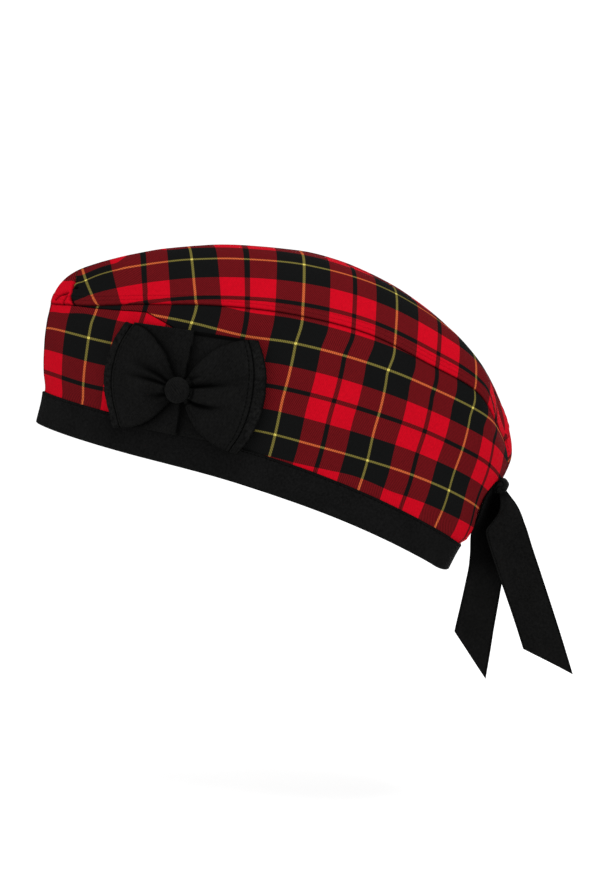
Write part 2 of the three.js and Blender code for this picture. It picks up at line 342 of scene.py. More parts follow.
FAR_COLUMN_SHIFT = -0.42  # setts that its columns lie further forward


def column_at(place, up):
    """Setts along the cloth at a place of the side."""
    low, high = clamp(up / 0.8), smooth(up, 0.8, 1.0)
    rows = [(lerp(lerp(foot, middle, low), top, high), setts) for setts, foot, middle, top in COLUMNS]
    return read(rows, clamp(place))


def crown_column(place, over_mm):
    """The same on the crown, where the columns lean towards the nose. The place where a column
    crosses the seam is found step by step, because how much it leans depends on it."""
    start = place
    for _ in range(9):
        lean = 0.0011 - 0.0004 * (smooth(start, 0.38, 0.48) - smooth(start, 0.74, 0.8))
        lean += 0.0030 * (1 - smooth(start, 0.17, 0.31)) + 0.0018 * smooth(start, 0.84, 0.93)
        start = 0.5 * (start + place + lean * over_mm)
    return column_at(start, 1.0)


def row_at(rows, place, rise):
    """Setts up the cloth from the upper yellow row."""
    upper, black, lower = (read(rows, place, column) for column in range(1, 4))
    if rise < lower:
        finer = 1 + 0.3 * (1 - smooth(place, 0.63, 0.72))
        return 0.5 * finer * (rise - lower) / (black - lower) - 1
    if rise < black:
        return 0.5 * (rise - black) / (black - lower) - 0.5
    return 0.5 * (rise - upper) / (upper - black)


def cumulative(points):
    total, lengths = 0.0, [0.0]
    for a, b in zip(points, points[1:]):
        total += (b - a).length / MM
        lengths.append(total)
    return lengths


def at_share(values, share):
    spot = clamp(share) * (len(values) - 1)
    i = min(int(spot), len(values) - 2)
    return lerp(values[i], values[i + 1], spot - i)


ROUND_THE_SIDE = cumulative([skin(i / 240, 0.5) for i in range(241)])


def round_side(place):
    """mm round the side from the front seam."""
    return at_share(ROUND_THE_SIDE, place)


CROWN_ARCS = {}  # worked out once for each place


def crown_arc(place, over):
    """mm over the crown from its seam, at `over` 0 to 1."""
    key = round(place, 5)
    if key not in CROWN_ARCS:
        CROWN_ARCS[key] = cumulative([skin(place, 1 + k / 48) for k in range(49)])
    return at_share(CROWN_ARCS[key], over)


def over_at(place, over_mm):
    """The same the other way round: `over` at some mm from the seam."""
    crown_arc(place, 0.5)
    arcs = CROWN_ARCS[round(place, 5)]
    i = max(k for k, arc in enumerate(arcs) if arc <= over_mm)
    return (i + (over_mm - arcs[i]) / (arcs[i + 1] - arcs[i])) / (len(arcs) - 1)


def closest_on(point, start, end):
    along = (point - start).dot(end - start) / max((end - start).length_squared, 1e-12)
    return start + (end - start) * clamp(along)


# ---- Cloth meshes

def closer_ends(share, gather):
    """0 to 1 in steps that lie closer together at both ends."""
    return share - gather * math.sin(2 * math.pi * share) / (2 * math.pi)


def rolled(distance, radius):
    """How far a turned edge has bent away at a distance from its fold."""
    if distance >= radius:
        return 0.0
    return radius - math.sqrt(max(radius ** 2 - (radius - max(distance, 0.0)) ** 2, 0.0))


def bell(value, middle, width):
    """1 in the middle, falling away to 0 on both sides."""
    return math.exp(-(((value - middle) / width) ** 2))


def unevenness(point, size, amount, seed=0.0):
    """Smooth noise in mm: `size` is the width of its swells in mm."""
    spot = point / (MM * size) + Vector((seed, seed * 0.7, -seed))
    return amount * noise.noise(spot)


def cloth(name, node, slot, material, across, tall, spot, place_point, maps, weld=False, flip=False):
    """A piece of cloth in place of a solid of the frame, from a grid. spot(s, t) says what place of
    the piece a vertex is, place_point(*spot) where that lies, and each of `maps` where it lies on
    a UV map. `weld` joins edges that meet."""
    grid = bmesh.new()
    layers = {key: grid.loops.layers.uv.new(key) for key in maps}
    bmesh.ops.create_grid(grid, x_segments=across, y_segments=tall, size=0.5)
    spots = {vertex: spot(vertex.co.x + 0.5, vertex.co.y + 0.5) for vertex in grid.verts}
    for key, layer in layers.items():
        found = {vertex: maps[key](*here) for vertex, here in spots.items()}
        for face in grid.faces:
            for loop in face.loops:
                loop[layer].uv = found[loop.vert]
    for vertex, here in spots.items():
        vertex.co = place_point(*here)
    if weld:
        bmesh.ops.remove_doubles(grid, verts=grid.verts, dist=MM / 1000)
    if flip:
        bmesh.ops.reverse_faces(grid, faces=grid.faces)
    piece = new_object(name, grid)
    piece.data.shade_smooth()
    piece.data.materials.append(material)
    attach(piece, "root")
    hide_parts(node)
    return piece


def new_object(name, shape):
    """Turns a bmesh into an object of the scene."""
    mesh = bpy.data.meshes.new(name)
    shape.to_mesh(mesh)
    shape.free()
    made = bpy.data.objects.new(name, mesh)
    bpy.context.scene.collection.objects.link(made)
    return made


def thicken(piece, thickness, offset=-1.0):
    wall = piece.modifiers.new("Cloth", "SOLIDIFY")
    wall.thickness = thickness * MM
    wall.offset = offset


def no_edge(*spot):
    """The Edge map of cloth without a stitched edge, as if it were far away."""
    return 50.0, 0.0


# ---- Shader maths

class Wire:
    """An output of a node. Arithmetic on it adds Math nodes."""

    def __init__(self, tree, socket):
        self.tree = tree
        self.socket = socket

    def math(self, operation, *values):
        return add_node(self.tree, "ShaderNodeMath", {"operation": operation}, dict(enumerate(values)))

    def __add__(self, other):
        return self.math("ADD", self, other)

    def __sub__(self, other):
        return self.math("SUBTRACT", self, other)

    def __rsub__(self, other):
        return self.math("SUBTRACT", other, self)

    def __mul__(self, other):
        return self.math("MULTIPLY", self, other)

    def __truediv__(self, other):
        return self.math("DIVIDE", self, other)

    __radd__ = __add__
    __rmul__ = __mul__


def add_node(tree, kind, settings=None, sockets=None, output=0):
    """A node of any kind: its settings are set first, then its inputs are set or linked."""
    made = tree.nodes.new(kind)
    for key, value in (settings or {}).items():
        setattr(made, key, value)
    for key, value in (sockets or {}).items():
        if isinstance(value, Wire):
            tree.links.new(value.socket, made.inputs[key])
        elif hasattr(value, "__len__") and made.inputs[key].type == "RGBA":
            made.inputs[key].default_value = (*value, 1.0)[:4]
        else:
            made.inputs[key].default_value = value
    return Wire(tree, made.outputs[output]) if made.outputs else None


def blend_colours(tree, share, a, b):
    return add_node(tree, "ShaderNodeMix", {"data_type": "RGBA"}, {0: share, 6: a, 7: b}, output=2)


def scale_colour(tree, colour, share):
    """A colour made lighter or darker by a number."""
    return add_node(tree, "ShaderNodeVectorMath", {"operation": "SCALE"}, {0: colour, "Scale": share})


def at_most(value, high):
    return value.math("MINIMUM", value, high)


def at_least(value, low):
    return value.math("MAXIMUM", value, low)


def soft_step(value, edge, width):
    """0 below the edge and 1 above it, over a width."""
    return at_most(at_least((value - edge) / width + 0.5, 0.0), 1.0)


def line(value, centre, width, edge):
    """1 within a width of the centre."""
    apart = value.math("ABSOLUTE", value - centre)
    return 1 - soft_step(apart, width / 2, edge)


def dashes(along, period, share):
    """1 along the stitches of a row, 0 between them."""
    return soft_step(along.math("PINGPONG", along / period, 0.5), 0.5 * (1 - share), 0.12)


def read_uv(tree, name):
    """The two numbers of a UV map."""
    spot = add_node(tree, "ShaderNodeUVMap", {"uv_map": name})
    first = add_node(tree, "ShaderNodeSeparateXYZ", None, {0: spot})
    return first, Wire(tree, first.socket.node.outputs[1])


def swells(tree, scale, detail):
    """Soft noise, 0 to 1, on Object coordinates."""
    spot = add_node(tree, "ShaderNodeTexCoord", output=3)
    return add_node(tree, "ShaderNodeTexNoise", None, {"Vector": spot, "Scale": scale, "Detail": detail})


def new_material(name):
    material = bpy.data.materials.new(name)
    material.use_nodes = True
    material.node_tree.nodes.clear()
    return material


def surface(tree, colour, roughness, specular, more=None):
    """Ends a material's nodes with its shader."""
    sockets = {"Base Color": colour, "Roughness": roughness, "Specular IOR Level": specular}
    shader = add_node(tree, "ShaderNodeBsdfPrincipled", None, {**sockets, **(more or {})})
    add_node(tree, "ShaderNodeOutputMaterial", None, {"Surface": shader})


def cloth_surface(tree, colour, roughness, specular, height):
    """The same with a bump, whose height is in mm."""
    bump = add_node(tree, "ShaderNodeBump", None, {"Strength": 1.0, "Distance": MM, "Height": height})
    surface(tree, colour, roughness, specular, {"Normal": bump})


# ---- Sizes and colours that a user would change

def size_property(name, description, default, low=0.0, high=1000.0):
    return bpy.props.FloatProperty(name=name, description=description, default=default, min=low, max=high)


def colour_property(name, description, default):
    return bpy.props.FloatVectorProperty(
        name=name, description=description, default=default, subtype="COLOR", size=3, min=0, max=1
    )


class TartanSettings(bpy.types.PropertyGroup):
    red: colour_property("Red", "Colour of the red threads", (0.345, 0.0014, 0.0078))
    black: colour_property("Black", "Colour of the black threads", (0.0035, 0.0036, 0.0036))
    yellow: colour_property("Yellow", "Colour of the yellow threads", (0.52, 0.44, 0.09))
    line: size_property("Line width", "Width of the thin lines, in mm", 1.6)
    threads: size_property("Threads", "Threads in one sett", 180.0)
    thickness: size_property("Thickness", "Thickness of the cloth, in mm", 1.4)
    turn: size_property("Seam turn", "Radius of the cloth where it turns into a seam, in mm", 1.0)
    stitch: size_property("Stitch", "Length of one stitch and its gap, in mm", 3.0)


class BandSettings(bpy.types.PropertyGroup):
    colour: colour_property("Colour", "Colour of the plain cloth", (0.0030, 0.0030, 0.0030))
    proud: size_property("Proud", "How far the band stands out from the sides, in mm", 1.0)
    thickness: size_property("Thickness", "Thickness of the folded band, in mm", 2.6)


class CockadeSettings(bpy.types.PropertyGroup):
    colour: colour_property("Colour", "Colour of the cockade's cloth", (0.0031, 0.0031, 0.0030))
    puff: size_property("Puff", "How far the lobes stand off beside the button, in mm", 7.0)
    hem: size_property("Hem", "Width of the hem at the end of each lobe, in mm", 6.0)
    button: size_property("Button", "Radius of the button, in mm", 7.5)


class RibbonSettings(bpy.types.PropertyGroup):
    colour: colour_property("Colour", "Colour of the ribbon", (0.0030, 0.0030, 0.0029))
    thickness: size_property("Thickness", "Thickness of the ribbon, in mm", 0.9)


class StageSettings(bpy.types.PropertyGroup):
    floor: colour_property("Floor", "Colour of the floor", (0.97, 0.97, 0.97))
    drop: size_property("Drop", "Height of the part over the floor, in mm", 90.0)
    distance: size_property("Distance", "From the camera to the part, in mm", 1300.0, 100.0, 5000.0)
    azimuth: size_property("Azimuth", "Round from the front to the camera, in degrees", 92.0, 0.0, 360.0)
    elevation: size_property("Elevation", "Up from the floor to the camera, in degrees", 5.0, -90.0, 90.0)


# ---- Tartan

def mixed(a, b, share):
    return tuple(lerp(x, y, share) for x, y in zip(a, b))


THREAD_BLUR = 0.004  # setts over which one colour turns into the next
YELLOW_HALF, BLACK_HALF = 0.46, 0.88  # half widths of the thin lines, in line widths
TALL_SETT = 0.86  # height of a sett over its length
SEAM_STITCHES = (2.9, 5.2)  # mm over the crown seam
BACK_STITCHES = 2.4  # mm beside the centre back seam


def tartan_cloth():
    """UV maps: Sett is setts along and up the cloth. Seam is mm round the cap, and mm over the
    crown seam. Front is mm behind the tuck, and how many setts the rows in front of it are lower."""
    settings = bpy.context.scene.glengarry_tartan
    red, black, yellow = settings.red, settings.black, settings.yellow
    material = new_material("Tartan")
    tree = material.node_tree
    along, up = read_uv(tree, "Sett")
    behind, lower = read_uv(tree, "Front")
    round_it, over = read_uv(tree, "Seam")

    front = 1 - soft_step(behind, 0.0, 0.25)
    up = up + lower * front
    thin = settings.line / SETT

    def tones(setts):
        """How red the threads of one direction are, and how yellow."""
        place = setts.math("PINGPONG", setts, 0.5)
        yellow_line = 1 - soft_step(place, YELLOW_HALF * thin, THREAD_BLUR)
        black_line = soft_step(place, 0.5 - BLACK_HALF * thin, THREAD_BLUR)
        return soft_step(place, 0.25, THREAD_BLUR) * (1 - black_line), yellow_line

    red_columns, yellow_columns = tones(along)
    red_rows, yellow_rows = tones(up)
    reds = red_columns + red_rows
    yellows = yellow_columns + yellow_rows

    maroon = mixed(black, red, 0.215)
    ground = blend_colours(tree, at_most(reds, 1.0), tuple(black), maroon)
    ground = blend_colours(tree, at_least(reds - 1, 0.0), ground, tuple(red))
    crossed = red_columns * yellow_rows + red_rows * yellow_columns
    over_red = mixed(black, mixed(red, yellow, 0.165), 0.86)
    over_black = mixed(black, yellow, 0.18)
    lines = blend_colours(tree, crossed, over_black, over_red)
    pattern = blend_colours(tree, at_most(yellows, 1.0), ground, lines)
    over_yellow = mixed(black, yellow, 0.85)
    pattern = blend_colours(tree, at_least(yellows - 1, 0.0), pattern, over_yellow)

    # The twill: fine slanting ribs, plainest where both threads have one colour
    ribs = along * settings.threads + up * (settings.threads * TALL_SETT)
    rib = soft_step(ribs.math("PINGPONG", ribs / 4, 0.5), 0.25, 0.35)
    two_tone = reds.math("ABSOLUTE", red_columns - red_rows) + at_most(yellows, 1.0)
    strength = at_most(two_tone, 1.3) * 0.72 + 0.14
    fuzz = swells(tree, 900.0, 1.0)
    wear = swells(tree, 45.0, 3.0)
    tone = 1 + strength * (rib - 0.5) + (fuzz - 0.5) * 0.35 + (wear - 0.5) * 0.16

    # Two rows of stitches over the crown seam, one beside the centre back seam, painted shade in the creases
    # of the seams, and a line of painted shade along the tuck
    first, second = (line(over, at, 0.5, 0.15) for at in SEAM_STITCHES)
    rows = first + second
    stitches = rows * dashes(round_it, settings.stitch, 0.7)
    length = round_side(1.0)
    back = line(round_it, length - BACK_STITCHES, 0.6, 0.2) * soft_step(over, -35.0, 6.0)
    back_stitches = back * dashes(over, settings.stitch * 0.8, 0.65)
    # Painted shade: the crown seam, the centre back seam and the centre front seam are darkened as if their
    # creases lay in shade
    crease = line(over, 0.0, 1.2, 1.0) * 0.55 + line(round_it, length, 1.0, 0.8) * 0.6
    crease = crease + line(round_it, 0.0, 0.8, 0.6) * 0.4
    # Painted shade: a thin dark line where the rear of the side laps over the front, and along the creases
    # of the crown's tip
    fold = line(behind, 0.0, 0.6, 0.35)
    # Dark stitch thread, together with the painted shade of the seams and the tuck
    stitches_and_shade = stitches * 0.12 + back_stitches * 0.8 + crease + fold * 0.75
    tone = tone * (1 - at_most(stitches_and_shade, 0.92))
    colour = scale_colour(tree, pattern, tone)

    height = rib * 0.05 + fuzz * 0.05 + wear * 0.25
    height = height - rows * 0.16 + stitches * 0.30 - back_stitches * 0.3
    height = height + (1 - front) * 0.45 - fold * 0.2
    cloth_surface(tree, colour, 0.85, 0.02, height)
    return material


def tartan_material():
    return bpy.data.materials.get("Tartan") or tartan_cloth()


def swelling(here):
    """Soft unevenness of the worn cloth, in mm."""
    return unevenness(here, 43.0, 0.6, 4.0) + unevenness(here, 14.5, 0.16, 8.0)


def seam_inset(place, away, turn):
    """How far the cloth is drawn in at `away` mm from the crown seam."""
    round_it = round_side(place)
    calm = smooth(place, 0.0, 0.12) * (1 - smooth(place, 0.86, 0.97))
    puckers = math.exp(-away / 5.0) * 0.17 * math.sin(round_it * 1.1 + 2 * math.sin(round_it * 0.2))
    return (rolled(away, turn) + puckers) * calm


SEAM_ALLOWANCE = 2.2
TUCKED_IN = 3.0  # mm that a side runs down inside the band
END_MARGIN, TOP_MARGIN, CROWN_MARGIN = 0.006, 0.004, 0.0035  # shares of a grid inside its seams
SIDE_GATHER, CROWN_GATHER = 0.8, 0.72  # how much closer its rows lie at a seam
CROWN_ENDS = (0.003, 0.9985)  # places of the crown's own ends
CROWN_CLEARANCE = 0.04


def margins(share, width, low=True):
    """A share 0 to 1 with a margin at its ends, and how far into the margin it is, 0 to 1."""
    first = width if low else 0.0
    spot = (share - first) / (1 - first - width)
    into = max(-spot, spot - 1, 0.0) * (1 - first - width) / width
    return clamp(spot), into


def side_piece(node, side):
    settings = bpy.context.scene.glengarry_tartan
    length = ROUND_THE_SIDE[-1]

    def spot(s, t):
        """Place, height, and mm that the cloth runs on inside a seam."""
        place, past_end = margins(s, END_MARGIN)
        up, past_top = margins(closer_ends(t, SIDE_GATHER), TOP_MARGIN, low=False)
        return place, up, SEAM_ALLOWANCE * max(past_end, past_top)

    def place_point(place, up, allowance):
        height = side_height(place)
        round_it = round_side(place)
        inset = seam_inset(place, (1 - up) * height, settings.turn)
        inset += rolled(length - round_it, 0.8) + rolled(round_it, 0.5)
        inset += swelling(skin(place, up, 0.0, side))
        lift = -TUCKED_IN / height * (1 - smooth(up, 0.0, 0.1))
        return skin(place, up + lift, inset + allowance, side)

    def rise_of(place, up):
        return band_top(reach(place)) + up * side_height(place)

    def sett(place, up, allowance):
        rows = row_at(REAR_ROWS, place, rise_of(place, up))
        if side < 0:
            rows += FAR_ROW_DROP
            rows += 0.2 * smooth(place, 0.9, 0.95) * smooth(rows, 0.02, 0.06)
            return column_at(place, min(up, 0.7)) + FAR_COLUMN_SHIFT, rows
        return column_at(place, up), rows

    def front(place, up, allowance):
        """mm behind the tuck, square to it, and setts that the front's rows are lower."""
        rise = rise_of(place, up)
        behind = (up - straight(TUCK, place)) * side_height(place)
        slope = (straight(TUCK, place + STEP) - straight(TUCK, place - STEP)) / (2 * STEP)
        run = (round_side(place + STEP) - round_side(place - STEP)) / (2 * STEP)
        steep = math.hypot(1.0, slope * side_height(place) / max(run, 1.0))
        row = row_at(FRONT_ROWS, place, rise)
        row *= 1 + 0.3 * (1 - smooth(place, 0.1, 0.2)) if row > 0 else 1.0
        return behind / steep, row - row_at(REAR_ROWS, place, rise)

    def seam(place, up, allowance):
        return round_side(place), -(1 - up) * side_height(place)

    maps = {"Sett": sett, "Front": front, "Seam": seam}
    dress = (node + "_cloth", node, "tartan", tartan_material())
    piece = cloth(*dress, 320, 90, spot, place_point, maps, flip=side < 0)
    thicken(piece, settings.thickness)


class GLENGARRY_OT_sides(bpy.types.Operator):
    """Makes the two tartan sides, from the centre front seam to the centre back seam"""

    bl_idname = "glengarry.sides"
    bl_label = "Sides"

    def execute(self, context):
        side_piece("left_side", 1)
        side_piece("right_side", -1)
        return {"FINISHED"}


def crown_piece():
    settings = bpy.context.scene.glengarry_tartan

    def spot(s, t):
        """Place, share and mm of the way over from the seam, side, and mm run on inside the seam."""
        share, past = margins(closer_ends(t, CROWN_GATHER), CROWN_MARGIN)
        across = 2 * share - 1
        place, over = lerp(*CROWN_ENDS, s), 1 - abs(across)
        return place, over, crown_arc(place, over), -1 if across > 0 else 1, SEAM_ALLOWANCE * past

    creases = []
    for side in (1, -1):
        for crease in NOSE_CREASES:
            spots = [skin(place, 1 + over_at(place, over_mm), 0.0, side) for place, over_mm in crease]
            creases += list(zip(spots, spots[1:]))

    def to_crease(place, here):
        """mm to the nearest crease of the tip."""
        if place > 0.2:
            return 50.0
        return min((here - closest_on(here, *ends)).length for ends in creases) / MM

    def place_point(place, over, over_mm, side, allowance):
        here = skin(place, 1 + over, 0.0, side)
        padding = 0.2 * smooth(over_mm, 0.6, 1.6) * (1 - smooth(over_mm, 5.4, 7.4))
        inset = seam_inset(place, over_mm, settings.turn) - padding * (1 - smooth(place, 0.86, 0.95))
        near = to_crease(place, here)
        inset += 1.1 * bell(near, 0.0, 0.8) - 0.35 * bell(near, 2.2, 1.4)
        inset += swelling(here) + allowance
        return skin(place, 1 + over, inset, side) + Vector((0.0, 0.0, CROWN_CLEARANCE)) * MM

    def sett(place, over, over_mm, side, allowance):
        if place < straight(NOSE_FOLD, over_mm):  # tucked
            return column_at(place, 1.0), over_mm * 0.015 - 0.46
        across = (over_mm - read(CROWN_ROWS, place)) / CROWN_SETT - 0.5
        squeeze = 1.0 + 1.5 * (1 - smooth(place, 0.212, 0.236)) + 0.3 * smooth(place, 0.28, 0.3)
        return crown_column(place, over_mm), across * (squeeze if across > 0 else 1.0)

    # Half the mm to the nearest crease of the tip: the tartan draws its line of painted shade along these
    # creases
    def front(place, over, over_mm, side, allowance):
        return 0.5 * to_crease(place, skin(place, 1 + over, 0.0, side)), 0.0

    def seam(place, over, over_mm, side, allowance):
        return round_side(place), over_mm

    maps = {"Sett": sett, "Front": front, "Seam": seam}
    dress = ("crown_cloth", "crown_top", "tartan", tartan_material())
    piece = cloth(*dress, 300, 160, spot, place_point, maps)
    thicken(piece, settings.thickness)


class GLENGARRY_OT_crown(bpy.types.Operator):
    """Makes the tartan crown, creased along its middle"""

    bl_idname = "glengarry.crown"
    bl_label = "Crown"

    def execute(self, context):
        crown_piece()
        return {"FINISHED"}


# ---- Plain twill, for the band, the cockade and the ribbons

def plain_cloth(name, colour, rib, rows, stitch=2.4, hem=0.0, folded=True):
    """UV maps: Cloth is mm along and across the cloth. Edge is mm from a stitched edge and along
    it. The fold map holds painted shade: how deep in a fold it is, and how much shade is painted on it
    besides. `rib` is the width of a twill rib, and `rows` how far from the edge stitches run."""
    material = new_material(name)
    tree = material.node_tree
    along, across = read_uv(tree, "Cloth")
    inward, edgewise = read_uv(tree, "Edge")
    ribs = (along + across * 0.8) / rib
    ridge = ribs.math("PINGPONG", ribs, 0.5) * 2
    fuzz = swells(tree, 750.0, 2.0)
    wear = swells(tree, 60.0, 3.0)
    tone = 1 + (ridge - 0.5) * 0.9 + (fuzz - 0.5) * 1.7 + (wear - 0.5) * 0.9
    # Painted shade: the fold map darkens the cloth in its folds and wherever shade is painted on it
    if folded:
        depth, shade = read_uv(tree, "FoldShade")
        tone = tone * (1 - at_most(depth, 0.97)) * (1 - at_most(shade, 0.93))
    height = ridge * 0.10 + fuzz * 0.06 + wear * 0.2
    for at in rows:
        row = line(inward, at, 0.5, 0.3)
        holes = row * dashes(edgewise, stitch, 0.5)
        tone = tone * (1 - row * 0.3) * (1 - holes * 0.75)
        height = height - row * 0.14 - holes * 0.2
    if hem:
        height = height - soft_step(inward, hem, 0.35) * 0.5
        ragged = swells(tree, 520.0, 2.0)
        tone = tone * (1 + (1 - soft_step(inward, hem, 0.3)) * (ragged - 0.5) * 2.8)
        # A line of painted shade in the groove at the hem's inner fold, and the cloth darker along its cut
        # end
        tone = tone * (1 - line(inward, hem + 0.2, 0.5, 0.3) * 0.7) * (1 - line(inward, 0.3, 0.9, 0.5) * 0.6)
    cloth_surface(tree, scale_colour(tree, tuple(colour), tone), 0.8, 0.03, height)
    return material


BAND_CORNER = 1.1


def band_piece():
    settings = bpy.context.scene.glengarry_band
    half = settings.thickness / 2
    middle = half - settings.proud

    def spot(s, t):
        return 1 - abs(2 * s - 1), 1 if s < 0.5 else -1, t

    def profile(t, height):
        """(mm up from the bottom, inset) round the folded band: up its outer face, over its top,
        down its inner face and under its foot."""
        turn = 4 * (t % 1.0)
        run = turn % 1.0
        low, high = BAND_CORNER, height - BAND_CORNER
        bend, lean = BAND_CORNER * math.sin(math.pi * run), half * math.cos(math.pi * run)
        if turn < 1:
            return lerp(low, high, run), middle - half
        if turn < 2:
            return high + bend, middle - lean
        if turn < 3:
            return lerp(high, low, run), middle + half
        return low - bend, middle + lean

    def place_point(place, side, t):
        height = band_height(reach(place))
        rise, inset = profile(t, height)
        drawn_up = 0.8 * smooth(place, 0.3, 0.5) + 2.3 * smooth(place, 0.88, 1.0)
        rise += drawn_up * (1 - rise / height)
        here = skin(place, -0.5, 0.0, side)
        inset += unevenness(here, 30.0, 0.35, 11.0) + unevenness(here, 12.0, 0.1, 4.0)
        return skin(place, rise / height - 1, inset, side)

    def cloth_map(place, side, t):
        rise, inset = profile(min(t, 0.9999), band_height(reach(place)))
        return side * round_side(place), rise + (8 * inset if 0.25 < t < 0.5 else 0)

    def edge_map(place, side, t):
        height = band_height(reach(place))
        rise, inset = profile(min(t, 0.9999), height)
        return (height - rise if t <= 0.25 else 50.0), side * round_side(place)

    material = plain_cloth("Band cloth", settings.colour, 0.85, (1.6,), folded=False)
    dress = ("band_cloth", "head_band", "band_cloth", material)
    piece = cloth(*dress, 640, 48, spot, place_point, {"Cloth": cloth_map, "Edge": edge_map}, weld=True)


class GLENGARRY_OT_band(bpy.types.Operator):
    """Makes the plain folded band round the head opening"""

    bl_idname = "glengarry.band"
    bl_label = "Band"

    def execute(self, context):
        band_piece()
        return {"FINISHED"}


# ---- Cockade, on the left side. u runs back along the cap from the button, v up from it, in mm
COCKADE_ALONG, COCKADE_ABOVE, COCKADE_TILT = 72.5, 22.7, math.radians(6)
COCKADE_SEAT = 1.6  # clears the band, which the cockade's foot overlaps
BOW_CLOTH = 1.6
BOW_SEAT = COCKADE_SEAT + 2 * BOW_CLOTH + 0.3
COCKADE_RING = RINGS[3]


def on_side(u, v, out):
    """A point over the left side, `out` from its skin, in metres."""
    along = COCKADE_ALONG + u * math.cos(COCKADE_TILT) - v * math.sin(COCKADE_TILT)
    above = COCKADE_ABOVE + u * math.sin(COCKADE_TILT) + v * math.cos(COCKADE_TILT)
    share = (along - COCKADE_RING[FRONT]) / (COCKADE_RING[BACK] - COCKADE_RING[FRONT])
    place = math.acos(1 - 2 * share) / math.pi
    up = above / band_height(share) if above < 0 else above / side_height(place)
    ahead = skin(place + STEP, up) - skin(place - STEP, up)
    higher = skin(place, up + STEP) - skin(place, up - STEP)
    return skin(place, up) + ahead.cross(higher).normalized() * (out * MM)


# (u, v) at the ends of the front panel's two folds
UPPER_PLEAT = ((-0.4, 4.0), (0.8, 30.0))
LOWER_PLEAT = ((-1.1, -26.0), (-1.6, -4.0))
BACK_HALF, BACK_TOP, BACK_FOOT = 32.0, 32.3, -25.3


def behind_pleat(u, v):
    """mm behind the fold of the cockade's front panel."""
    (u0, v0), (u1, v1) = UPPER_PLEAT if v > 0 else LOWER_PLEAT
    return ((u - u0) * (v1 - v0) - (v - v0) * (u1 - u0)) / math.hypot(u1 - u0, v1 - v0)


def bow_outline():
    """The upper and lower edges of both lobes as runs of (u, v) points."""
    runs = []
    for way in (1, -1):
        for across in (1, -1):
            spots = [bow_front(way * (0.04 + 0.94 * k / 20), across, 0.0)[:2] for k in range(21)]
            runs += list(zip(spots, spots[1:]))
    return [(Vector((*a, 0.0)), Vector((*b, 0.0))) for a, b in runs]


def cockade_back():
    outline = bow_outline()

    def spot(s, t):
        u = BACK_HALF * (2 * closer_ends(s, 0.3) - 1)
        return u, lerp(BACK_FOOT - 0.045 * u, BACK_TOP, closer_ends(t, 0.4))

    # Painted shade on the back layer: deep is the shade behind the front panel's pleat, under a dark strip
    # below the lowered panel's top edge, and beside a painted shadow of the lobes along their outline
    def fold_shade_map(u, v):
        rear = behind_pleat(u, v)
        near = math.exp(-math.hypot(u, v) / 11.0)
        deep = 0.85 * math.exp(-rear / (1.1 + 6.0 * near)) if rear > -0.1 else 0.0
        under = 0.9 * smooth(v, BACK_TOP - 3.0, BACK_TOP - 2.2) if rear > 0 else 0.0
        here = Vector((u, v, 0.0))
        beside = min((here - closest_on(here, *ends)).length for ends in outline)
        return deep, max(under, 0.8 * math.exp(-beside / (0.6 + 3.0 * near)))

    def place_point(u, v):
        rear = behind_pleat(u, v)
        front_panel = 2.0 * (1 - smooth(rear, -0.2, 0.2)) * math.exp(-max(-rear, 0.0) / 22.0)
        hollow = 0.5 * bell(rear, 1.5, 3.0) if rear > 0 else 0.0
        under = 1.1 * smooth(v, BACK_TOP - 2.4, BACK_TOP - 2.1) if rear > 0 else 0.0
        out = COCKADE_SEAT + BOW_CLOTH - 0.7 + front_panel - hollow - under
        out -= rolled(min(BACK_TOP - v, v - BACK_FOOT), 1.1) * 0.8
        here = Vector((u, v, 0.0)) * MM
        out += unevenness(here, 16.0, 0.5, 2.0) + unevenness(here, 7.0, 0.18, 9.0)
        return on_side(u, v, out)

    maps = {"Cloth": lambda u, v: (u, v), "Edge": no_edge, "FoldShade": fold_shade_map}
    dress = ("cockade_back_cloth", "cockade_back", "cockade_cloth", cockade_material())
    piece = cloth(*dress, 200, 150, spot, place_point, maps)
    thicken(piece, 1.2)


def cockade_material():
    settings = bpy.context.scene.glengarry_cockade
    made = bpy.data.materials.get("Cockade cloth")
    hem = settings.hem
    return made or plain_cloth("Cockade cloth", settings.colour, 0.95, (hem + 0.2, hem + 2.5), hem=hem)


# Each lobe: how far it reaches, its hem, and how far the middle of its end reaches past the upper
# and the lower corner. Edges: (u, v) along the upper and the lower edge. Folds: share across at
# the button and 25 mm out, depth, width, mm out where it ends, and its soft side.
REAR_LOBE = {
    "reach": 45.0,
    "hem": 6.4,
    "bulge": (10.2, 9.0),
    "edges": (
        ((0.0, 4.8), (1.2, 6.2), (4.0, 11.0), (8.0, 17.0), (14.5, 24.2), (23.0, 29.3), (30.0, 31.8),
         (34.8, 32.4)),
        ((0.0, 5.4), (1.9, 7.7), (4.5, 11.7), (8.6, 17.5), (14.2, 22.8), (21.0, 26.3), (28.4, 28.9),
         (36.0, 30.0)),
    ),
    "folds": (
        (0.52, 0.36, 2.0, 1.3, 14.0, 1),
        (0.12, 0.20, 2.8, 0.8, 34.0, 1),
        (-0.45, -0.23, 2.8, 0.9, 31.0, -1),
        (0.84, 0.80, 0.8, 1.0, 15.0, 1),
        (-0.72, -0.72, 0.9, 1.1, 18.0, -1),
    ),
}
